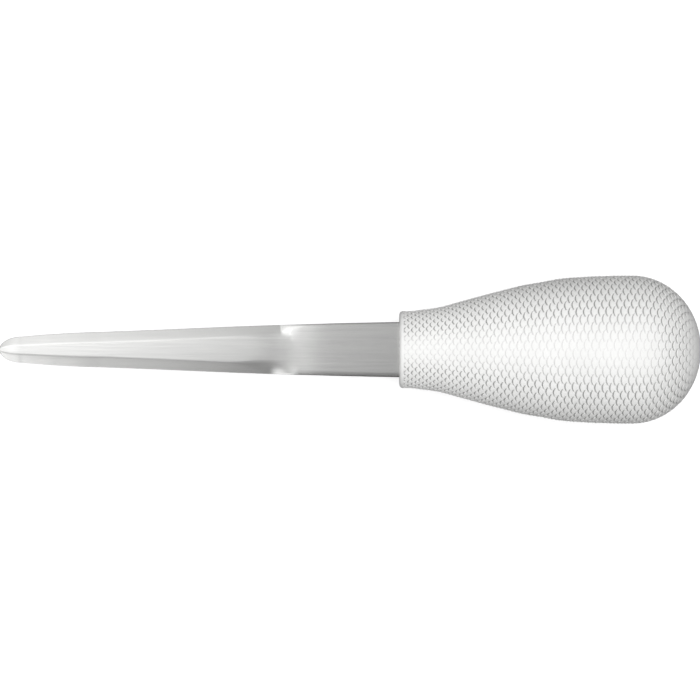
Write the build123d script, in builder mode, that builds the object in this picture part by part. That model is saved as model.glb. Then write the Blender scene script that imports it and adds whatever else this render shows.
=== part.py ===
from build123d import *
import os
from math import acos, cos, sin

os.makedirs("parts", exist_ok=True)

# An oyster knife: a stainless blade with a hidden tang, held in a bulb handle moulded in two shots.
# Lengths are in millimetres. X runs from the tip to the butt and Z is square to the blade's flats.
# The origin is on the handle's axis, midway between the tip and the butt.

# Blade, ahead of the handle
blade_length = 101.6  # from the tip to the handle's front face
heel_width = 14.05  # across the blade where it enters the handle
nose_width = 6.6  # across the blade where its rounded nose starts
nose_length = 5.6
tip_width = 0.6  # blunt end left at the very tip
blade_thickness = 2.3  # over the ground flats, near the handle
nose_thickness = 1.8  # over the flats where the nose starts
tip_thickness = 0.9
edge_thickness = 0.5  # the blunt working edge at the foot of the bevels
corner_break = 0.3  # on the four long corners of the plain bar
bar_length = 26.1  # plain bar, from the handle to where the bevels begin
plunge_length = 3.6  # over which the bevels reach their full width, run out by a small grinding wheel
bevel_width = 2.6  # across each bevel, until it narrows towards the nose
nose_bevel_width = 2.15  # across each bevel where the nose starts

# Sides of the blade from the handle to the nose: how far along, and how much of the narrowing is done
bar_narrowing_share = 0.174  # by the end of the plain bar
plunge_narrowing_share = 0.203  # by the end of the plunge
side_reach_shares = (0.53, 0.79, 0.9, 0.95)
side_narrowing_shares = (0.413, 0.682, 0.801, 0.89)
bevel_narrowing_shares = (0, 0, 0.4, 0.6)  # of the bevels' own narrowing, at the same places
nose_turn_shares = (0.3, 0.55, 0.75, 0.9, 1)  # of the turn round the nose

# Tang, hidden in the handle and left at the thickness of the sheet
sheet_thickness = 2.5
heel_depth = 4.0  # how far the blade's full width goes into the handle
tang_width = 11.0
tang_length = 52.0  # from the handle's front face to the tang's round end
lock_hole_diameter = 5.5
lock_hole_pitch = 20.0
lock_hole_setback = 12.0  # from the tang's end to the nearer hole

# Handle
handle_length = 76.5
collar_radius = 9.8
collar_corner_radius = 0.9
bulb_radius = 18.82
bulb_reach = 59.2  # from the front face to the widest place

# Flare of the handle from its collar to its widest place: how far along, and how much of the rise is done
flare_reach_shares = (0.09, 0.26, 0.44, 0.61, 0.78, 0.87)
flare_rise_shares = (0.035, 0.267, 0.582, 0.819, 0.958, 0.985)

# Core, moulded first, and the key rings in which the outer shot grips it
grip_wall = 3.2
key_width = 3.0
key_depth = 1.2

overall_length = blade_length + handle_length
face_x = blade_length - overall_length / 2  # the handle's front face
butt_x = face_x + handle_length
bulb_x = face_x + bulb_reach
bevel_start = bar_length + plunge_length
nose_start = blade_length - nose_length
nose_turn = acos(tip_width / nose_width)
nose_flat_width = nose_width - 2 * nose_bevel_width


def between(first, last, share):
    return first + (last - first) * share


def side_width(narrowing_share):
    return between(heel_width, nose_width, narrowing_share)


def blade_section(ahead, width, flat, thickness, edge):
    """An eight-cornered section across the blade, so far ahead of the handle's face."""
    side, ridge, top = width / 2, flat / 2, thickness / 2
    upper = [(-side, edge / 2), (-ridge, top), (ridge, top), (side, edge / 2)]
    lower = [(y, -z) for y, z in reversed(upper)]
    with BuildSketch(Plane.YZ.offset(face_x - ahead)) as section:
        with BuildLine():
            Polyline(*upper, *lower, close=True)
        make_face()
    return section.sketch


def bar_section(ahead, width):
    """Section through the plain bar near the handle."""
    both_breaks = 2 * corner_break
    return blade_section(ahead, width, width - both_breaks, blade_thickness, blade_thickness - both_breaks)


def ground_section(ahead, width, bevel_narrowing_share):
    """Section through the bevels, where the thickness tapers towards the nose."""
    flat = width - 2 * between(bevel_width, nose_bevel_width, bevel_narrowing_share)
    share = (ahead - bevel_start) / (nose_start - bevel_start)
    return blade_section(ahead, width, flat, between(blade_thickness, nose_thickness, share), edge_thickness)


def nose_section(turn):
    """Section through the nose, an ellipse in plan that thins towards the tip."""
    ahead = nose_start + nose_length * sin(turn) / sin(nose_turn)
    width, flat = nose_width * cos(turn), nose_flat_width * cos(turn)
    thickness = between(tip_thickness, nose_thickness, cos(turn))
    return blade_section(ahead, width, flat, thickness, edge_thickness)


blade_sections = [bar_section(0, heel_width), bar_section(bar_length, side_width(bar_narrowing_share))]
blade_sections.append(ground_section(bevel_start, side_width(plunge_narrowing_share), 0))
for reach_share, *shares in zip(side_reach_shares, side_narrowing_shares, bevel_narrowing_shares):
    blade_sections.append(ground_section(nose_start * reach_share, side_width(shares[0]), shares[1]))
blade_sections.append(ground_section(nose_start, nose_width, 1))
for turn_share in nose_turn_shares:
    blade_sections.append(nose_section(turn_share * nose_turn))

with BuildPart() as blade:
    loft(blade_sections, ruled=True)

    # Tang, with two holes that the core's plastic runs through
    tang_run = tang_length - tang_width / 2
    hole_x = face_x + tang_length - lock_hole_setback
    with BuildSketch(Plane.XY.offset(-sheet_thickness / 2)):
        with Locations((face_x + heel_depth / 2, 0)):
            Rectangle(heel_depth, heel_width)
        with Locations((face_x + tang_run / 2, 0)):
            Rectangle(tang_run, tang_width)
        with Locations((face_x + tang_run, 0)):
            Circle(tang_width / 2)
        with Locations((hole_x, 0), (hole_x - lock_hole_pitch, 0)):
            Circle(lock_hole_diameter / 2, mode=Mode.SUBTRACT)
    extrude(amount=sheet_thickness)
blade.part.label = "blade"
export_step(blade.part, "parts/blade.step")

flare = [
    (between(face_x, bulb_x, reach_share), between(collar_radius, bulb_radius, rise_share))
    for reach_share, rise_share in zip(flare_reach_shares, flare_rise_shares)
]

# The core fills the handle from the first flare point back, one grip wall inside its surface
with BuildPart() as core_blank:
    core_flare = [(x, radius - grip_wall) for x, radius in flare]
    core_butt_x = butt_x - grip_wall
    core_radius = bulb_radius - grip_wall
    with BuildSketch():
        with BuildLine():
            core_front = Line((core_flare[0][0], 0), core_flare[0])
            Spline(*core_flare, (bulb_x, core_radius), tangents=[(1, 0), (1, 0)])
            EllipticalCenterArc((bulb_x, 0), core_butt_x - bulb_x, core_radius, start_angle=0, arc_size=90)
            Line((core_butt_x, 0), core_front @ 0)
        make_face()
    revolve(axis=Axis.X)

    # Key rings, at the flare points between the first and the last
    for x, radius in core_flare[1:-1]:
        with BuildSketch():
            with Locations((x, radius - key_depth)):
                Rectangle(key_width, bulb_radius, align=(Align.CENTER, Align.MIN))
        revolve(axis=Axis.X, mode=Mode.SUBTRACT)

with BuildPart() as handle_core:
    add(core_blank.part)
    add(blade.part, mode=Mode.SUBTRACT)
handle_core.part.label = "handle_core"
export_step(handle_core.part, "parts/handle_core.step")

# Grip, moulded over the core and sealed round the blade at the collar
with BuildPart() as handle_grip:
    corner_centre = (face_x + collar_corner_radius, collar_radius - collar_corner_radius)
    with BuildSketch():
        with BuildLine():
            grip_front = Line((face_x, 0), (face_x, collar_radius - collar_corner_radius))
            corner = CenterArc(corner_centre, collar_corner_radius, 180, -90)
            Spline(corner @ 1, *flare, (bulb_x, bulb_radius), tangents=[(1, 0), (1, 0)])
            EllipticalCenterArc((bulb_x, 0), butt_x - bulb_x, bulb_radius, start_angle=0, arc_size=90)
            Line((butt_x, 0), grip_front @ 0)
        make_face()
    revolve(axis=Axis.X)
    add(core_blank.part, mode=Mode.SUBTRACT)
    add(blade.part, mode=Mode.SUBTRACT)
handle_grip.part.label = "handle_grip"
export_step(handle_grip.part, "parts/handle_grip.step")
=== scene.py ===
from math import acos, cos, exp, pi, radians, sin, sqrt, tanh

import bmesh
import bpy
import numpy as np
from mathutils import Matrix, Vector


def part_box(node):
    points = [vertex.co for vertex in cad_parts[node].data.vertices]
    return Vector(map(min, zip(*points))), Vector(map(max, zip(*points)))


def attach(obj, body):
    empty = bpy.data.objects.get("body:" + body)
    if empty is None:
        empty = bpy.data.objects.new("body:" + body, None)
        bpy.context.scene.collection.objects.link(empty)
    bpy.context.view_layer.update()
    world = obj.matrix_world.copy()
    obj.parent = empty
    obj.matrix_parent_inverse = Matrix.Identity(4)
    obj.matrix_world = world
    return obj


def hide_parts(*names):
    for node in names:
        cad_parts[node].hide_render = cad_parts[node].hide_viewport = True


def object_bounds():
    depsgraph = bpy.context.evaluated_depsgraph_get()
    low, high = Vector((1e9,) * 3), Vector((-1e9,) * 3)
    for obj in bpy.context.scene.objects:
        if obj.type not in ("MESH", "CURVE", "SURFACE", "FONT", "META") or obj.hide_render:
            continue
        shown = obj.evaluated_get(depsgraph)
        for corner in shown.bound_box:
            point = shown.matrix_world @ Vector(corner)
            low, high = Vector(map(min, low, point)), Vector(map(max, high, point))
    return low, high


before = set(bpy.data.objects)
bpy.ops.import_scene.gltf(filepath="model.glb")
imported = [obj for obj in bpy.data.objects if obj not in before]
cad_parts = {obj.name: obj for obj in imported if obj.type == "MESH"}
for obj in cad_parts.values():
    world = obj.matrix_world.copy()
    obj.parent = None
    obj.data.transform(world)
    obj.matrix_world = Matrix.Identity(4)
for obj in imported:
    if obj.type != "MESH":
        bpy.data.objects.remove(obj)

# An oyster knife: a bevelled stainless blade in a white bulb handle moulded in two shots.
# Metres throughout, tip towards -X and flats facing up, the way the frame has it.
mm = 0.001
cadLow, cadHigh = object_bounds()
bladeLow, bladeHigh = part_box("blade")
gripLow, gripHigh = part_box("handle_grip")
tipX, faceX, buttX = bladeLow.x, gripLow.x, gripHigh.x  # the tip, the handle's front face, its rear end
bladeLength, bulbRadius = faceX - tipX, gripHigh.z


def smoothCurve(places, values, startSlope=None, endSlope=None):
    # a cubic through the points, its end slopes fixed or left free
    x, y = np.array(places, float), np.array(values, float)
    last, gap = len(x) - 1, np.diff(x)
    rise = np.diff(y) / gap
    left, right = np.zeros((last + 1, last + 1)), np.zeros(last + 1)
    for i in range(1, last):
        before, after = 1 / gap[i - 1], 1 / gap[i]
        left[i, i - 1 : i + 2] = before, 2 * (before + after), after
        right[i] = 3 * (rise[i - 1] * before + rise[i] * after)
    for i, beside, slope, steep in ((0, 1, startSlope, rise[0]), (last, last - 1, endSlope, rise[-1])):
        free = slope is None
        left[i, i], left[i, beside] = (2, 1) if free else (1, 0)
        right[i] = 3 * steep if free else slope
    slopes = np.linalg.solve(left, right)

    def at(p):
        p = np.clip(np.asarray(p, float), x[0], x[-1])
        i = np.clip(np.searchsorted(x, p) - 1, 0, last - 1)
        s = (p - x[i]) / gap[i]
        near = y[i] + gap[i] * slopes[i] * s
        far = y[i + 1] - gap[i] * slopes[i + 1] * (1 - s)
        return near * (1 - s) ** 2 * (1 + 2 * s) + far * s**2 * (3 - 2 * s)

    return at


def between(first, last, share):
    return first + (last - first) * share


def softMin(a, b, blend):
    # the lower of two heights, rounded where they cross
    h = np.clip(0.5 + 0.5 * (b - a) / blend, 0, 1)
    return b * (1 - h) + a * h - blend * h * (1 - h)


def skinOf(name, rings):
    # joins rings of equal count into one skin, and closes both ends with a fan
    rings = np.asarray(rings, float)
    count, around = rings.shape[:2]
    first = np.arange(count - 1)[:, None] * around
    j = np.arange(around)[None, :]
    k = (j + 1) % around
    quads = np.stack([first + j, first + k, first + around + k, first + around + j], axis=-1)
    faces, points = quads.reshape(-1, 4).tolist(), rings.reshape(-1, 3).tolist()
    for ring, turn in ((0, -1), (count - 1, 1)):
        points.append(rings[ring].mean(axis=0).tolist())
        hub, base = len(points) - 1, ring * around
        faces += [[base + a, base + (a + 1) % around, hub][::turn] for a in range(around)]
    mesh = bpy.data.meshes.new(name)
    mesh.from_pydata(points, [], faces)
    bm = bmesh.new()
    bm.from_mesh(mesh)
    bmesh.ops.recalc_face_normals(bm, faces=bm.faces)
    bm.to_mesh(mesh)
    bm.free()
    mesh.polygons.foreach_set("use_smooth", [True] * len(mesh.polygons))
    return mesh


def roundedOutline(halfY, halfZ, corner, shares):
    # points round a rounded rectangle, from the middle of its +Y side towards +Z
    runs = np.cumsum([0, halfZ - corner, corner * pi / 2, halfY - corner])
    quarter = np.floor(shares * 4).astype(int) % 4
    part = shares * 4 % 1
    along = np.where(quarter % 2 == 1, 1 - part, part) * runs[-1]
    turn = np.clip((along - runs[1]) / corner, 0, pi / 2)
    y = halfY - corner + corner * np.cos(turn) - np.maximum(along - runs[2], 0)
    z = np.minimum(along, runs[1]) + corner * np.sin(turn)
    return y * np.where((quarter == 1) | (quarter == 2), -1, 1), z * np.where(quarter > 1, -1, 1)


def ringAt(x, y, z):
    return np.stack([np.broadcast_to(x, y.shape), y, z], axis=-1)


# The handle: a smooth collar, scales pressed all round the bulb, and a smooth rounded butt
grip = {
    "collarRadius": 9.8 * mm,
    "collarCorner": 0.9 * mm,
    "bulbReach": 59.2 * mm,  # from the front face to the widest place
    "flareReach": (0.09, 0.26, 0.44, 0.61, 0.78, 0.87),  # shares of the bulb's reach
    "flareRise": (0.035, 0.267, 0.582, 0.819, 0.958, 0.985),  # shares of the rise from collar to bulb
    "rows": 52,  # rows of scales round the handle, a multiple of four
    "pitch": 1.86 * mm,  # from one scale to the next in a row
    "steep": 0.14,  # length of a scale's front, as a share of the pitch
    "reach": 0.75,  # how far a scale reaches to each side, in rows
    "bow": 0.34,  # how far its ends trail, in pitches
    "bowPower": 2.0,
    "endPower": 8.0,  # the higher, the squarer its ends
    "relief": 0.34 * mm,  # how far its front stands out at most
    "topRelief": 0.4,  # share of that left where the surface lies level with the flats
    "turned": 0.52,  # how far it has to turn away for the whole relief, as a sine
    "turnPower": 1.5,
    "sideRelief": 0.55,  # share left where the surface stands square to the flats
    "sideShade": 0.65,  # and of the painted shade at the scales' feet
    "sideEnd": 0.04,  # up to here the sides' shares hold, as the cosine between the surface and the flats
    "topStart": 0.33,  # and from here on there is no trace of them
    "buttRelief": 0.4,  # share left on the butt, where it falls away at this slope
    "buttSlope": 1.2,
    "firstScale": 1.2 * mm,  # behind the front face
    "lastScale": 1.8 * mm,  # ahead of the rear end
    "collarFade": 0.3 * mm,  # over which the scales die out at the collar
    "buttFade": 4.0 * mm,  # and at the butt
    "buttLines": (0.04, 0.2, 0.4, 0.6, 0.8, 0.93),  # of the turn from the butt's middle to the last scales
    "collarLines": 6,  # round the collar's corner
    "faceLines": (0.35, 0.7, 1),  # of the way from that corner in to the slot
    "mouthPlay": 0.15 * mm,  # round the blade at the very front of the slot
    "mouthCorner": 0.4 * mm,
    "mouthDepth": 0.12 * mm,
    "slotPlay": 0.06 * mm,  # and behind that
    "slotCorner": 0.35 * mm,
    "roomLines": (72, 54, 36, 18, 1),  # degrees round the back of the room that the core fills
    "crispAngle": 24,  # degrees, above which an edge stays crisp
}


def flareRadius(inset, startReach):
    # the bulb's radius at any x, as a curve up to its widest place and an ellipse behind it
    bulbX = faceX + grip["bulbReach"]
    xs = [between(faceX, bulbX, share) for share in (*grip["flareReach"], 1)]
    radii = [between(grip["collarRadius"], bulbRadius, share) - inset for share in (*grip["flareRise"], 1)]
    if startReach is not None:
        xs, radii = [faceX + startReach] + xs, [grip["collarRadius"] - inset] + radii
    front = smoothCurve(xs, radii, 0, 0)
    back = buttX - inset - bulbX

    def at(x):
        behind = np.clip((x - bulbX) / back, 0, 1)
        return np.minimum(np.where(x > bulbX, 1, front(x)), (bulbRadius - inset) * np.sqrt(1 - behind**2))

    return at, bulbX, back


def trail(side):
    # how far the front of a scale trails, so many rows to the side of its middle
    return grip["bow"] * np.minimum(np.abs(side) / grip["reach"], 1) ** grip["bowPower"]


def scaleHeight(along, around):
    # from 0 at the foot of a scale to 1 at its crest, level between; along is in pitches, around in rows
    height = np.full(np.broadcast(along, around).shape, 0.5)
    own = np.floor(around)
    steep = grip["steep"] / 2
    for beside in (-1, 0, 1):
        row = own + beside
        side = around - row - 0.5
        phase = (along - trail(side) - 0.5 * (row % 2)) % 1
        stand = np.interp(phase, (0, steep, 0.25, 0.75, 1 - steep, 1), (0, 0.5, 0, 0, -0.5, 0))
        ends = 1 - np.minimum(np.abs(side) / grip["reach"], 1) ** grip["endPower"]
        height = height + stand * ends
    return np.clip(height, 0, 1)


def reliefAt(x, up, slope, textureEnd):
    # shares of the relief and of the painted shade at the scales' feet, so far along the handle and so far
    # round it
    fade = np.clip((x - faceX - grip["collarCorner"]) / grip["collarFade"], 0, 1)
    fade = fade * np.sqrt(np.clip((textureEnd - x) / grip["buttFade"], 0, 1))
    turned = np.sqrt(1 - up**2 / (1 + np.minimum(slope, 0) ** 2)) / grip["turned"]
    facing = np.abs(up) / np.sqrt(1 + slope**2)
    level = np.clip((facing - grip["sideEnd"]) / (grip["topStart"] - grip["sideEnd"]), 0, 1)
    share = fade * between(grip["topRelief"], 1, np.clip(turned, 0, 1) ** grip["turnPower"])
    share = share * between(grip["sideRelief"], 1, level)
    worn = between(1, grip["buttRelief"], np.clip(-slope / grip["buttSlope"], 0, 1))
    return share * worn, share * between(grip["sideShade"], 1, level)


def buildGrip():
    radiusAt, bulbX, back = flareRadius(0, grip["collarCorner"])
    tuck = grip["reach"] - 0.5  # how far a scale runs into the next row
    steps = np.array([0, tuck / 2, tuck, 0.5, 1 - tuck, 1 - tuck / 2])  # grid lines in a row of scales
    rows = (np.arange(grip["rows"])[:, None] + steps).ravel()
    angles = rows * 2 * pi / grip["rows"]
    shares = rows / grip["rows"]
    across, up = np.cos(angles), np.sin(angles)
    rings, footShades = [], []

    # foot is the painted shade given to the points of this ring
    def add(x, y, z, foot=0):
        rings.append(ringAt(x, y, z))
        footShades.append(np.broadcast_to(foot, angles.shape))

    # butt, from its middle out to the last scales
    textureEnd = buttX - grip["lastScale"]
    widest = acos((textureEnd - bulbX) / back)
    for share in grip["buttLines"]:
        turn = widest * share
        add(bulbX + back * cos(turn), bulbRadius * sin(turn) * across, bulbRadius * sin(turn) * up)

    # scales, from the butt to the collar: grid lines bend with the scales, and their feet are pressed in
    textureStart = faceX + grip["firstScale"]
    edge = (textureEnd - textureStart) / grip["pitch"]
    even = trail((rows + 0.5) % 2 - 1)
    odd = trail((rows - 0.5) % 2 - 1) + 0.5
    foot, nudge = grip["steep"] / 2, 0.01 * mm
    lines = [even - foot, even + foot, (even + odd) / 2, odd - foot, odd + foot, (odd + even + 1) / 2]
    for count in range(int(edge), -1, -1):
        for line in lines[::-1]:
            place = count + line
            if place.max() > edge:
                continue
            x = textureStart + place * grip["pitch"]
            slope = (radiusAt(x + nudge) - radiusAt(x - nudge)) / (2 * nudge)
            relief, paintedShade = reliefAt(x, up, slope, textureEnd)
            sunk = 1 - scaleHeight(place, rows)
            deep = grip["relief"] * sunk * relief / np.sqrt(1 + slope**2)
            radius = radiusAt(x) - deep
            # each ring carries painted shade for the scales' feet, darkest where they sink deepest
            add(x + deep * slope, radius * across, radius * up, np.clip(2 * sunk - 1, 0, 1) * paintedShade)

    # collar's rounded corner and the front face in to the slot
    corner = grip["collarCorner"]
    rim = grip["collarRadius"] - corner
    for turn in np.linspace(pi / 2, 0, grip["collarLines"]):
        radius = rim + corner * sin(turn)
        add(faceX + corner * (1 - cos(turn)), radius * across, radius * up)
    wide = grip["mouthPlay"]
    mouth = roundedOutline(bladeHigh.y + wide, bladeHigh.z + wide, grip["mouthCorner"], shares)
    for share in grip["faceLines"]:
        add(faceX, *[between(rim * c, m, share) for c, m in zip((across, up), mouth)])

    # slot round the blade, then the narrower tang, then the room that the core fills
    play = grip["slotPlay"]
    widths = (bladeHigh.y, blade["tangWidth"] / 2)
    heel, tang = [roundedOutline(w + play, bladeHigh.z + play, grip["slotCorner"], shares) for w in widths]
    add(faceX + grip["mouthDepth"], *heel)
    add(faceX + blade["heelDepth"], *heel)
    add(faceX + blade["heelDepth"], *tang)
    coreAt, coreBulbX, coreBack = flareRadius(core["gripWall"], None)
    coreStart = faceX + grip["flareReach"][0] * grip["bulbReach"]
    add(coreStart, *tang)
    gap = core["clearance"]
    for x, radius in coreProfile(coreAt, coreStart, coreBulbX):
        add(x, (radius + gap) * across, (radius + gap) * up)
    for turn in np.radians(grip["roomLines"]):
        radius = (bulbRadius - core["gripWall"]) * sin(turn) + gap
        add(coreBulbX + (coreBack + gap) * cos(turn), radius * across, radius * up)

    mesh = skinOf("grip_textured", rings)
    mesh.set_sharp_from_angle(angle=radians(grip["crispAngle"]))
    # the painted shade at the scales' feet goes to the material as the attribute foot
    shade = np.append(np.array(footShades).ravel(), [0, 0]).astype(np.float32)
    mesh.attributes.new("foot", "FLOAT", "POINT").data.foreach_set("value", shade)
    piece = bpy.data.objects.new("grip_textured", mesh)
    bpy.context.scene.collection.objects.link(piece)
    return piece


core = {
    "gripWall": 3.2 * mm,  # from the core out to the handle's surface
    "keyWidth": 3.0 * mm,
    "keyDepth": 1.2 * mm,
    "clearance": 0.02 * mm,  # between the core and the grip's room for it
}


def coreProfile(coreAt, start, end):
    # (x, radius) along the core, down into each key ring and out of it again
    points = [(start, float(coreAt(start)))]
    for reach in grip["flareReach"][1:-1]:
        middle = faceX + reach * grip["bulbReach"]
        floor = float(coreAt(middle)) - core["keyDepth"]
        near, far = middle - core["keyWidth"] / 2, middle + core["keyWidth"] / 2
        points += [(near, float(coreAt(near))), (near, floor), (far, floor), (far, float(coreAt(far)))]
    return points + [(end, float(coreAt(end)))]


# The blade: a plain bar at the handle, bevels ground on both edges and faces, a rounded blunt nose
blade = {
    "heelWidth": 14.05 * mm,
    "noseWidth": 6.6 * mm,
    "noseLength": 5.6 * mm,
    "tipWidth": 0.6 * mm,
    "thickness": 2.3 * mm,
    "noseThickness": 1.8 * mm,
    "tipThickness": 0.9 * mm,
    "edge": 0.5 * mm,  # blunt working edge
    "cornerBreak": 0.38 * mm,  # on the four long corners of the bar
    "barLength": 26.1 * mm,
    "plungeLength": 3.6 * mm,
    # where each bevel starts to run out, ahead of the handle, and over what length it rounds off to the bar
    "farPlunge": {"start": 30.1 * mm, "length": 6.8 * mm, "turns": False},
    "nearPlunge": {"start": 33.4 * mm, "length": 9.0 * mm, "turns": True},  # turns level about its ridge
    "plungeStep": 0.38,  # share of its depth that the far one gives up at once
    "plungeStepLength": 0.55 * mm,
    "plungeOnset": 0.9 * mm,  # over which each eases in
    "plungeLag": 8.0,  # how much slower the far one rises towards its ridge
    "plungeSpare": 0.12 * mm,  # how far each ends up clear of the bar
    "bevelWidth": 2.6 * mm,  # across each bevel, until it narrows towards the nose
    "noseBevelWidth": 2.15 * mm,
    "bevelNarrowing": (0, 0, 0, 0.4, 0.6, 1),  # from the plunge to the nose
    "crown": 0.13 * mm,  # how far the ground flats fall away to their sides
    "barCrown": 0.045 * mm,
    "dishDepth": 0.05 * mm,  # shallow dish that the wheel leaves in the flats where the bevels run out
    "dishMiddle": 29.3 * mm,  # ahead of the handle
    "dishWidth": 4.4 * mm,
    "barRise": 0.07 * mm,  # how far the unground bar stands over the ground flats, on each face
    "barRiseMiddle": 23.5 * mm,
    "barRiseWidth": 3.4 * mm,
    "sideReach": (0.53, 0.79, 0.9, 0.95),  # shares of the way from the handle to the nose
    "sideNarrowing": (0.413, 0.682, 0.801, 0.89),  # shares of the narrowing done there
    "barNarrowing": 0.174,  # by the end of the bar
    "plungeNarrowing": 0.203,  # and by the whole bevels
    "ridgeSoftness": 0.09 * mm,
    "plungeSoftness": 0.36 * mm,  # more than that where the bevels run out
    "softReach": 5.76 * mm,  # and how far from there
    "slimHalf": 2.0 * mm,  # half width under which the ridges sharpen with the blade
    "wear": 0.09 * mm,  # rounding of the working edge at most
    "wearShare": 0.12,  # or this share of the bevel
    "wearDepth": 1.2,  # how much deeper it is than wide
    "breakShare": 0.45,  # the corner break takes this share of the bevel at most
    "flatLines": (0, 0.3, 0.6, 0.85),  # grid lines across the flat, as shares of the way to its ridge
    "ridgeLines": 0.3 * mm,  # those beside the ridge lie at least so far from it
    "ridgeSpread": 0.9,  # or this share of its rounding
    "ridgeLimits": (0.25, 0.35),  # and at most these shares of the flat and of the bevel
    "breakLines": 0.1 * mm,  # those beside the corner break lie at most so far from it
    "breakSpread": 0.05,  # or this share of the bevel
    "wearLines": (0, 0.33, 0.67, 1),  # over the worn edge
    "ridgeTries": 400,  # places tried for the ridge where a bevel runs out
    "ridgeSlack": 0.0001 * mm,  # how far under the flat it may lie
    "noseRings": 26,
    "groundRings": 92,
    "plungeRings": 40,
    "barRings": 26,
    "tipStages": ((0, 0.55), (0.02 * mm, 0.85)),  # how far behind the very tip, and share of its section
    "tipRound": 0.12 * mm,  # from the very tip to the whole section
    "barEnd": 1.5 * mm,  # inside the handle, where the ground skin ends
    "tangStart": 0.15 * mm,  # inside the handle, where the plate of the tang starts
    "roundPoints": 33,  # round the tang's end, and round each hole
    "brushMap": (0.2, 0.05),  # metres of the blade that the map for the gloss covers
    "crispAngle": 40,  # degrees, above which an edge stays crisp
    "weld": 0.0005 * mm,  # points closer than this become one
    "heelDepth": 4.0 * mm,
    "tangWidth": 11.0 * mm,
    "tangLength": 52.0 * mm,
    "holeDiameter": 5.5 * mm,
    "holePitch": 20.0 * mm,
    "holeSetback": 12.0 * mm,
}


def bladeShape(ahead):
    # width, flat and thickness so far ahead of the handle's front face
    noseStart = bladeLength - blade["noseLength"]
    bevelStart = blade["barLength"] + blade["plungeLength"]
    reaches = [0, blade["barLength"], bevelStart, *[noseStart * s for s in blade["sideReach"]], noseStart]
    done = [0, blade["barNarrowing"], blade["plungeNarrowing"], *blade["sideNarrowing"], 1]
    sides = smoothCurve(reaches, done)
    width = between(blade["heelWidth"], blade["noseWidth"], float(sides(min(ahead, noseStart))))
    narrowed = float(np.interp(ahead, reaches[2:], blade["bevelNarrowing"]))
    flat = width - 2 * between(blade["bevelWidth"], blade["noseBevelWidth"], narrowed)
    share = min(max((ahead - bevelStart) / (noseStart - bevelStart), 0), 1)
    thickness = between(blade["thickness"], blade["noseThickness"], share)
    if ahead > noseStart:
        turnEnd = acos(blade["tipWidth"] / blade["noseWidth"])
        sine = min((ahead - noseStart) / blade["noseLength"], 1) * sin(turnEnd)
        narrow = sqrt(1 - sine**2)
        width, flat = width * narrow, flat * narrow
        thickness = between(blade["tipThickness"], blade["noseThickness"], narrow)
    return width, flat, thickness


def bladeQuarter(ahead, half, ridge, top, edge, plunge):
    # points from the middle of a flat over its soft ridge and down the bevel to the worn edge
    past = max(plunge["start"] - ahead, 0)
    onBar = (1 - tanh((ahead - blade["barRiseMiddle"]) / blade["barRiseWidth"])) / 2
    rise = blade["barRise"] * onBar
    crown = between(blade["crown"], blade["barCrown"], onBar)
    whole = top - edge + rise + blade["plungeSpare"]
    bevelWidth = half - ridge
    steep = (top - edge) / bevelWidth
    nearPlunge = exp(-(((ahead - plunge["start"]) / blade["softReach"]) ** 2))
    blend = blade["ridgeSoftness"] + blade["plungeSoftness"] * nearPlunge
    blend = blend * min(1, half / blade["slimHalf"])
    dish = blade["dishDepth"] * exp(-(((ahead - blade["dishMiddle"]) / blade["dishWidth"]) ** 2))

    def bevelAt(y):
        lag = 0 if plunge["turns"] else blade["plungeLag"]
        run = past / (1 + lag * ((half - y) / bevelWidth) ** 4)
        run = run**2 / (run + blade["plungeOnset"])
        share = np.minimum(run / plunge["length"], 1)
        if plunge["turns"]:
            share = share**2 * (3 - 2 * share)
            return edge + (half - y) * steep * (1 - share) + whole * share
        share = share + blade["plungeStep"] * (1 - np.exp(-run / blade["plungeStepLength"]) - share)
        return edge + (half - y) * steep + whole * share

    def topAt(y):
        bevel = bevelAt(y)
        chamfer = top + rise - (y - half + blade["cornerBreak"])
        level = top + rise - crown * (y / (blade["heelWidth"] / 2)) ** 2 - dish
        face = softMin(level, bevel, blend)
        return softMin(face, chamfer, blend) if past > 0 else face

    if not plunge["turns"]:
        # where this kind runs out, its ridge moves out to the edge
        outermost = max(half - blade["cornerBreak"] / blade["breakShare"], ridge)
        tried = np.linspace(ridge, outermost, blade["ridgeTries"])
        ridge = float(tried[bevelAt(tried) >= top - blade["ridgeSlack"]][-1])
    foot = half - ridge
    inward, outward = blade["ridgeLimits"]
    soft = max(blade["ridgeLines"], blade["ridgeSpread"] * blend / steep)
    soft = min(soft, inward * ridge, outward * foot)
    corner = half - min(blade["cornerBreak"], blade["breakShare"] * foot)
    beside = min(blade["breakLines"], blade["breakSpread"] * foot)
    y = [share * ridge for share in blade["flatLines"]]
    y += [ridge - soft, ridge - soft / 3, ridge + soft / 3, ridge + soft]
    y += [(ridge + soft + corner - beside) / 2, corner - beside, corner + beside]
    wear = min(blade["wear"], blade["wearShare"] * foot)
    start, turn = [np.array([at, float(topAt(at))]) for at in (half - wear, half)]
    end = turn - (0, blade["wearDepth"] * wear)
    bend = [(1 - t) ** 2 * start + 2 * t * (1 - t) * turn + t**2 * end for t in blade["wearLines"]]
    return np.vstack([np.stack([y, topAt(np.array(y))], axis=-1), bend, [[half, 0]]])


def bladeSection(ahead, shrink=1):
    # one loop of points across the blade; turned over, it shows the same two kinds of quarter
    width, flat, thickness = [v * shrink for v in bladeShape(ahead)]
    sizes = (width / 2, flat / 2, thickness / 2, blade["edge"] / 2 * shrink)
    far, near = [bladeQuarter(ahead, *sizes, blade[kind]) for kind in ("farPlunge", "nearPlunge")]
    loop = np.vstack([far[::-1], near[1:] * (-1, 1), (far * (-1, -1))[::-1][1:], near[1:-1] * (1, -1)])
    return ringAt(faceX - ahead, loop[:, 0], loop[:, 1])


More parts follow.
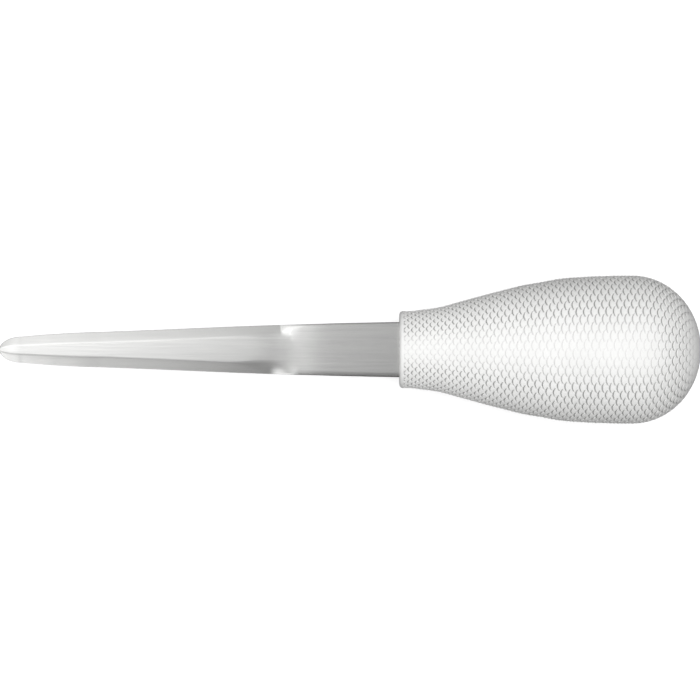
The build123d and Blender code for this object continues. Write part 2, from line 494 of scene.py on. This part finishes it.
def tangPlate():
    # the hidden end of the stamping, cut flat with its two lock holes
    halfHeel, halfTang = bladeHigh.y, blade["tangWidth"] / 2
    start, shoulder = faceX + blade["tangStart"], faceX + blade["heelDepth"]
    centre = faceX + blade["tangLength"] - halfTang
    halfTurn = np.linspace(0, pi, blade["roundPoints"])
    outline = [(start, -halfHeel), (shoulder, -halfHeel), (shoulder, -halfTang)]
    outline += [(centre + halfTang * sin(a), -halfTang * cos(a)) for a in halfTurn]
    outline += [(shoulder, halfTang), (shoulder, halfHeel), (start, halfHeel)]
    curve = bpy.data.curves.new("tang_outline", "CURVE")
    curve.dimensions, curve.fill_mode = "2D", "BOTH"
    loops = [outline]
    for step in (0, 1):
        x = faceX + blade["tangLength"] - blade["holeSetback"] - step * blade["holePitch"]
        r = blade["holeDiameter"] / 2
        loops.append([(x + r * cos(a), r * sin(a)) for a in 2 * halfTurn[:-1]])
    for loop in loops:
        line = curve.splines.new("POLY")
        line.points.add(len(loop) - 1)
        for point, (x, y) in zip(line.points, loop):
            point.co = (x, y, 0, 1)
        line.use_cyclic_u = True
    curve.extrude = bladeHigh.z
    holder = bpy.data.objects.new("tang_outline", curve)
    mesh = bpy.data.meshes.new_from_object(holder)
    bpy.data.objects.remove(holder)
    bpy.data.curves.remove(curve)
    return mesh


def buildBlade():
    # sections from the tip to the handle, dense where the form changes
    noseStart = bladeLength - blade["noseLength"]
    plungeStart = blade["nearPlunge"]["start"]
    plungeEnd = blade["farPlunge"]["start"] - blade["farPlunge"]["length"]
    nose = [noseStart + blade["noseLength"] * sin(t) for t in np.linspace(pi / 2, 0, blade["noseRings"])]
    nose[0] -= blade["tipRound"]
    ground = np.linspace(noseStart, plungeStart, blade["groundRings"])[1:]
    plunge = np.linspace(plungeStart, plungeEnd, blade["plungeRings"])[1:]
    bar = np.linspace(plungeEnd, -blade["barEnd"], blade["barRings"])[1:]
    rings = [bladeSection(bladeLength, share) + (behind, 0, 0) for behind, share in blade["tipStages"]]
    rings += [bladeSection(ahead) for ahead in [*nose, *ground, *plunge, *bar]]
    mesh = skinOf("blade_ground", rings)
    bm = bmesh.new()
    bm.from_mesh(mesh)
    tang = tangPlate()
    bm.from_mesh(tang)
    bpy.data.meshes.remove(tang)
    bmesh.ops.remove_doubles(bm, verts=bm.verts, dist=blade["weld"])
    bmesh.ops.recalc_face_normals(bm, faces=bm.faces)

    # the gloss spreads by this map, which is folded over the edges
    uv = bm.loops.layers.uv.new("brushing")
    long, wide = blade["brushMap"]
    for face in bm.faces:
        for corner in face.loops:
            spot = corner.vert.co
            across = spot.y + (spot.z if face.normal.z > 0 else -spot.z)
            corner[uv].uv = (spot.x / long + 0.5, across / wide + 0.5)
    bm.to_mesh(mesh)
    bm.free()
    piece = bpy.data.objects.new("blade_ground", mesh)
    bpy.context.scene.collection.objects.link(piece)
    mesh.polygons.foreach_set("use_smooth", [True] * len(mesh.polygons))
    mesh.set_sharp_from_angle(angle=radians(blade["crispAngle"]))
    return piece


class Finish:
    # a material with its node tree, and short ways to add and join nodes
    def __init__(self, name):
        self.material = bpy.data.materials.new(name)
        self.material.use_nodes = True
        self.tree = self.material.node_tree
        self.shader = self.tree.nodes["Principled BSDF"]

    def node(self, kind, settings=None, **inputs):
        made = self.tree.nodes.new(kind)
        for key, value in (settings or {}).items():
            setattr(made, key, value)
        for key, value in inputs.items():
            self.join(value, made.inputs[int(key[1:]) if key[0] == "_" else key.replace("_", " ")])
        return made

    def join(self, value, socket):
        if isinstance(value, bpy.types.NodeSocket):
            self.tree.links.new(value, socket)
        else:
            socket.default_value = value

    def spread(self, source, window, low, high):
        # from the low value to the high one while the source runs through the window
        made = self.node("ShaderNodeMapRange", _0=source, _1=window[0], _2=window[1], _3=low, _4=high)
        return made.outputs[0]

    def noise(self, scale, stretch=(1, 1, 1), detail=2.0, rough=0.5):
        where = self.node("ShaderNodeTexCoord").outputs["Object"]
        where = self.node("ShaderNodeMapping", Vector=where, Scale=stretch).outputs[0]
        made = self.node("ShaderNodeTexNoise", Vector=where, Scale=scale, Detail=detail, Roughness=rough)
        return made.outputs[0]

    def maths(self, operation, a, b=0.0):
        return self.node("ShaderNodeMath", {"operation": operation}, _0=a, _1=b).outputs[0]

    def mixed(self, share, a, b):
        made = self.node("ShaderNodeMix", {"data_type": "RGBA"}, _0=share, _6=a, _7=b)
        return made.outputs[2]

    def bump(self, height, distance):
        return self.node("ShaderNodeBump", Height=height, Distance=distance).outputs[0]


# a noise's values lie mostly in the first of these, and a smooth noise's in the second
grainWindow = (0.3, 0.7)
cloudWindow = (0.35, 0.65)

whitePlastic = {
    "colour": (0.93, 0.93, 0.92, 1),
    "worn": (0.95, 0.95, 0.94, 1),  # in patches that the hand rubs
    "wornLeast": 0.1,  # share of it everywhere else
    "wornWindow": (0.4, 0.6),  # noise values between which a patch begins
    "patchScale": 90,  # the higher, the smaller the patches
    "foot": (0.18, 0.18, 0.175, 1),  # painted shade in the feet of the scales
    "shadeNarrowing": 1.8,  # the higher, the narrower that line of painted shade
    "roughness": (0.42, 0.52),
    "grainRoughness": (-0.03, 0.04),  # what the grain adds to it
    "grainScale": 5200,
    "grain": 0.006 * mm,  # its depth
    "ior": 1.49,
    "specular": 0.45,
}


def gripFinish():
    f = Finish("white_grip_plastic")
    foot = f.node("ShaderNodeAttribute", {"attribute_name": "foot"}).outputs["Fac"]
    cloud = f.noise(whitePlastic["patchScale"], detail=4.0)
    grain = f.noise(whitePlastic["grainScale"], detail=3.0, rough=0.6)
    worn = f.spread(cloud, whitePlastic["wornWindow"], whitePlastic["wornLeast"], 1)
    clean = f.mixed(worn, whitePlastic["colour"], whitePlastic["worn"])
    # painted shade: the scales' feet are darkened by that attribute
    shade = f.maths("POWER", foot, whitePlastic["shadeNarrowing"])
    f.join(f.mixed(shade, clean, whitePlastic["foot"]), f.shader.inputs["Base Color"])
    broad = f.spread(cloud, cloudWindow, *whitePlastic["roughness"])
    fine = f.spread(grain, grainWindow, *whitePlastic["grainRoughness"])
    f.join(f.maths("ADD", broad, fine), f.shader.inputs["Roughness"])
    f.join(f.bump(grain, whitePlastic["grain"]), f.shader.inputs["Normal"])
    f.shader.inputs["IOR"].default_value = whitePlastic["ior"]
    f.shader.inputs["Specular IOR Level"].default_value = whitePlastic["specular"]
    return f.material


corePlastic = {
    "colour": (0.86, 0.86, 0.84, 1),
    "flow": (0.8, 0.8, 0.78, 1),  # faint flow streaks of a thick first shot
    "flowWindow": (0.4, 0.65),
    "flowScale": 60,
    "flowStretch": (0.3, 1, 1),
    "roughness": (0.5, 0.65),
    "grainScale": 4000,
    "grain": 0.01 * mm,
}


def coreFinish():
    f = Finish("core_plastic")
    flow = f.noise(corePlastic["flowScale"], corePlastic["flowStretch"], detail=5.0)
    grain = f.noise(corePlastic["grainScale"])
    streaks = f.spread(flow, corePlastic["flowWindow"], 0, 1)
    f.join(f.mixed(streaks, corePlastic["colour"], corePlastic["flow"]), f.shader.inputs["Base Color"])
    f.join(f.spread(grain, grainWindow, *corePlastic["roughness"]), f.shader.inputs["Roughness"])
    f.join(f.bump(grain, corePlastic["grain"]), f.shader.inputs["Normal"])
    return f.material


steel = {
    "colour": (0.72, 0.72, 0.71, 1),
    "streak": (0.67, 0.67, 0.665, 1),
    "streakWindow": (0.35, 0.68),
    "wheelMark": (0.7, 0.7, 0.69, 1),  # on the bevels, in patches
    "wheelMarkLeast": 0.3,
    "patchScale": 70,
    "fineLines": (140, 9000, 9000),  # brush lines: how fine they are along the blade, across it and up
    "broadLines": (35, 1500, 1500),
    "broadDepth": 0.8,  # of the broad ones, against the fine ones
    "scratch": 0.0011 * mm,  # depth of the fine ones
    "roughness": (0.2, 0.25),
    "cornerRoughness": 0.13,  # on the four long corners, which tumbling has polished
    # a face is bevel where its normal's Z is under the first, and flat where it is over the second
    "bevelWindow": (0.955, 0.985),
    "cornerWindow": (0.76, 0.86),  # the same for a corner
    "anisotropy": 0.6,
    "brushTurn": 0.25,  # of a turn, so that the gloss spreads across the brush lines
}


def steelFinish():
    f = Finish("brushed_stainless")
    fine = f.noise(1.0, steel["fineLines"], rough=0.55)
    broad = f.noise(1.0, steel["broadLines"], detail=3.0, rough=0.6)
    cloud = f.noise(steel["patchScale"], detail=3.0)
    normal = f.node("ShaderNodeTexCoord").outputs["Normal"]
    upright = f.node("ShaderNodeSeparateXYZ", Vector=normal).outputs["Z"]
    level = f.maths("ABSOLUTE", upright)
    bevel = f.spread(level, steel["bevelWindow"], 1, 0)
    corner = f.spread(level, steel["cornerWindow"], 1, 0)
    brushed = f.mixed(f.spread(broad, steel["streakWindow"], 0, 1), steel["colour"], steel["streak"])
    marks = f.maths("MULTIPLY", bevel, f.spread(cloud, cloudWindow, steel["wheelMarkLeast"], 1))
    f.join(f.mixed(marks, brushed, steel["wheelMark"]), f.shader.inputs["Base Color"])
    rough = f.spread(fine, grainWindow, *steel["roughness"])
    smooth = steel["cornerRoughness"]
    mix = f.node("ShaderNodeMix", {"data_type": "FLOAT"}, _0=corner, _2=rough, _3=smooth)
    f.join(mix.outputs[0], f.shader.inputs["Roughness"])
    lines = f.maths("ADD", fine, f.maths("MULTIPLY", broad, steel["broadDepth"]))
    f.join(f.bump(lines, steel["scratch"]), f.shader.inputs["Normal"])
    f.shader.inputs["Metallic"].default_value = 1.0
    f.shader.inputs["Anisotropic"].default_value = steel["anisotropy"]
    f.shader.inputs["Anisotropic Rotation"].default_value = steel["brushTurn"]
    tangent = f.node("ShaderNodeTangent", {"direction_type": "UV_MAP", "uv_map": "brushing"}).outputs[0]
    f.join(tangent, f.shader.inputs["Tangent"])
    return f.material


print("stage 1: grip with its pressed scales")
gripPiece = buildGrip()
gripPiece.data.materials.append(gripFinish())
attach(gripPiece, "root")
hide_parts("handle_grip")

print("stage 2: core inside the grip")
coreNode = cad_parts["handle_core"]
coreNode.data.materials.clear()
coreNode.data.materials.append(coreFinish())

print("stage 3: ground blade with its tang")
bladePiece = buildBlade()
bladePiece.data.materials.append(steelFinish())
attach(bladePiece, "root")
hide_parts("blade")

# The studio: a pale floor, one broad lamp overhead, and a tent of light that only the gloss sees
studio = {
    "floorSize": 6.0,
    "floorColour": (0.9, 0.9, 0.9, 1),
    "floorBounce": (0.06, 0.06, 0.06, 1),  # what the floor gives back to the object
    "floorLift": 0.45,  # extra white that only the camera sees on the floor
    "ambient": 0.6,
    "lampSize": (0.6, 0.6),
    "lampPlace": (0.02, 0.05, 1.7),
    "lampPower": 12.6,
    "cameraHeight": 0.9,
    "cameraMiddle": (0.0, -0.0001),
    "photoWidth": 0.1778,  # metres across the photograph, at the height of the handle's middle
    "sensor": 36.0,
    "clip": (0.05, 20),
}
tent = {
    "radius": 1.5,
    "halfLength": 2.0,
    "sides": 60,
    "glow": 2.7,
    # how bright each glow is round the tent, from the near side over the top to the far side,
    # and along it, from the tip's end to the butt's end
    "main": {
        "round": (
            (0.0, 0.0), (0.14, 0.0), (0.22, 0.115), (0.35, 0.215), (0.43, 0.32), (0.475, 0.54), (0.52, 0.9),
            (0.6, 0.72), (0.68, 0.55), (0.8, 0.44), (1.0, 0.6),
        ),
        "along": (
            (0.0, 0.74), (0.38, 0.74), (0.425, 0.88), (0.436, 0.8), (0.458, 0.685), (0.468, 0.62),
            (0.476, 0.525), (0.483, 0.395), (0.49, 0.36), (0.497, 0.325), (0.504, 0.26), (0.53, 0.21),
            (0.64, 0.21), (0.74, 0.7), (1.0, 0.7),
        ),
    },
    # a second glow low on the near side, ahead of the tip
    "low": {
        "round": ((0.0, 0.37), (0.323, 0.37), (0.38, 0.0), (1.0, 0.0)),
        "along": (
            (0.0, 1.02), (0.38, 1.02), (0.424, 1.08), (0.436, 0.94), (0.444, 0.77), (0.452, 0.56),
            (0.46, 0.28), (0.468, 0.08), (0.476, 0.0), (1.0, 0.0),
        ),
    },
    # a third, lower still, that only a low view from the far side meets
    "side": {
        "round": ((0.0, 0.0), (0.055, 0.0), (0.085, 0.32), (0.16, 0.32), (0.225, 0.0), (1.0, 0.0)),
        "along": (
            (0.0, 0.0), (0.44, 0.0), (0.45, 0.7), (0.468, 0.7), (0.478, 0.25), (0.54, 0.25),
            (0.6, 1.0), (1.0, 1.0),
        ),
    },
}


def plainMaterial(name):
    material = bpy.data.materials.new(name)
    material.use_nodes = True
    material.node_tree.nodes.clear()
    return material


def floorMaterial():
    material = plainMaterial("pale_floor")
    nodes, links = material.node_tree.nodes, material.node_tree.links
    matte = nodes.new("ShaderNodeBsdfDiffuse")
    glow = nodes.new("ShaderNodeEmission")
    path = nodes.new("ShaderNodeLightPath")
    paint = nodes.new("ShaderNodeMix")
    paint.data_type = "RGBA"
    paint.inputs[6].default_value = studio["floorBounce"]
    paint.inputs[7].default_value = studio["floorColour"]
    links.new(path.outputs["Is Camera Ray"], paint.inputs[0])
    links.new(paint.outputs[2], matte.inputs["Color"])
    power = nodes.new("ShaderNodeMath")
    power.operation = "MULTIPLY"
    power.inputs[1].default_value = studio["floorLift"]
    links.new(path.outputs["Is Camera Ray"], power.inputs[0])
    links.new(power.outputs[0], glow.inputs["Strength"])
    both = nodes.new("ShaderNodeAddShader")
    links.new(matte.outputs[0], both.inputs[0])
    links.new(glow.outputs[0], both.inputs[1])
    out = nodes.new("ShaderNodeOutputMaterial")
    links.new(both.outputs[0], out.inputs["Surface"])
    return material


def rampNode(nodes, stops):
    ramp = nodes.new("ShaderNodeValToRGB")
    for i, (place, level) in enumerate(stops):
        stop = ramp.color_ramp.elements[i] if i < 2 else ramp.color_ramp.elements.new(place)
        stop.position = place
        stop.color = (level, level, level, 1)
    return ramp


def tentMaterial():
    # a glow that changes round the tent and along it
    material = plainMaterial("light_tent")
    nodes, links = material.node_tree.nodes, material.node_tree.links
    where, split = nodes.new("ShaderNodeUVMap"), nodes.new("ShaderNodeSeparateXYZ")
    where.uv_map = "tent"
    links.new(where.outputs[0], split.inputs[0])
    glows = []
    for kind in ("main", "low", "side"):
        product = nodes.new("ShaderNodeMath")
        product.operation = "MULTIPLY"
        for i, (axis, way) in enumerate((("X", "along"), ("Y", "round"))):
            ramp = rampNode(nodes, tent[kind][way])
            links.new(split.outputs[axis], ramp.inputs[0])
            links.new(ramp.outputs[0], product.inputs[i])
        glows.append(product.outputs[0])
    total = glows[0]
    for extra in glows[1:]:
        both = nodes.new("ShaderNodeMath")
        links.new(total, both.inputs[0])
        links.new(extra, both.inputs[1])
        total = both.outputs[0]
    glow = nodes.new("ShaderNodeEmission")
    strength = nodes.new("ShaderNodeMath")
    strength.operation = "MULTIPLY"
    strength.inputs[1].default_value = tent["glow"]
    links.new(total, strength.inputs[0])
    links.new(strength.outputs[0], glow.inputs["Strength"])
    out = nodes.new("ShaderNodeOutputMaterial")
    links.new(glow.outputs[0], out.inputs["Surface"])
    return material


def buildFloor():
    half, low = studio["floorSize"] / 2, cadLow.z
    corners = [(-half, -half, low), (half, -half, low), (half, half, low), (-half, half, low)]
    mesh = bpy.data.meshes.new("floor")
    mesh.from_pydata(corners, [], [(0, 1, 2, 3)])
    mesh.materials.append(floorMaterial())
    piece = bpy.data.objects.new("floor", mesh)
    bpy.context.scene.collection.objects.link(piece)


def buildTent():
    # half a tube over the object, seen only in its gloss
    sides, long, radius = tent["sides"], tent["halfLength"], tent["radius"]
    points, faces, spots = [], [], []
    for i in range(sides + 1):
        turn = pi * i / sides
        points += [(x, -radius * cos(turn), cadLow.z + radius * sin(turn)) for x in (-long, long)]
        spots += [(u, i / sides) for u in (0, 1)]
    for i in range(sides):
        faces.append((2 * i, 2 * i + 1, 2 * i + 3, 2 * i + 2))
    mesh = bpy.data.meshes.new("light_tent")
    mesh.from_pydata(points, [], faces)
    layer = mesh.uv_layers.new(name="tent")
    for loop, corner in zip(mesh.loops, layer.data):
        corner.uv = spots[loop.vertex_index]
    mesh.materials.append(tentMaterial())
    piece = bpy.data.objects.new("light_tent", mesh)
    piece.visible_camera = piece.visible_diffuse = piece.visible_shadow = piece.visible_transmission = False
    bpy.context.scene.collection.objects.link(piece)


def buildStudio():
    buildFloor()
    buildTent()
    lamp = bpy.data.lights.new("overhead_lamp", "AREA")
    lamp.shape = "RECTANGLE"
    lamp.size, lamp.size_y = studio["lampSize"]
    lamp.energy = studio["lampPower"]
    lampPiece = bpy.data.objects.new("overhead_lamp", lamp)
    lampPiece.location = studio["lampPlace"]
    lampPiece.visible_glossy = False
    bpy.context.scene.collection.objects.link(lampPiece)

    world = bpy.data.worlds.new("studio")
    bpy.context.scene.world = world
    world.use_nodes = True
    nodes, links = world.node_tree.nodes, world.node_tree.links
    nodes.clear()
    soft, white = nodes.new("ShaderNodeBackground"), nodes.new("ShaderNodeBackground")
    soft.inputs["Strength"].default_value = studio["ambient"]
    soft.inputs["Color"].default_value = white.inputs["Color"].default_value = (1, 1, 1, 1)
    path = nodes.new("ShaderNodeLightPath")
    seen = path.outputs["Is Camera Ray"]
    for other in ("Is Glossy Ray", "Is Transmission Ray"):
        either = nodes.new("ShaderNodeMath")
        either.operation = "MAXIMUM"
        links.new(seen, either.inputs[0])
        links.new(path.outputs[other], either.inputs[1])
        seen = either.outputs[0]
    mix, out = nodes.new("ShaderNodeMixShader"), nodes.new("ShaderNodeOutputWorld")
    links.new(seen, mix.inputs[0])
    links.new(soft.outputs[0], mix.inputs[1])
    links.new(white.outputs[0], mix.inputs[2])
    links.new(mix.outputs[0], out.inputs["Surface"])

    camera = bpy.data.cameras.new("camera")
    camera.sensor_width = studio["sensor"]
    camera.lens = studio["sensor"] * studio["cameraHeight"] / studio["photoWidth"]
    camera.clip_start, camera.clip_end = studio["clip"]
    cameraPiece = bpy.data.objects.new("camera", camera)
    cameraPiece.location = (*studio["cameraMiddle"], studio["cameraHeight"])
    bpy.context.scene.collection.objects.link(cameraPiece)
    bpy.context.scene.camera = cameraPiece
    bpy.context.scene.view_settings.view_transform = "Standard"


print("stage 4: studio, lamp and camera")
buildStudio()
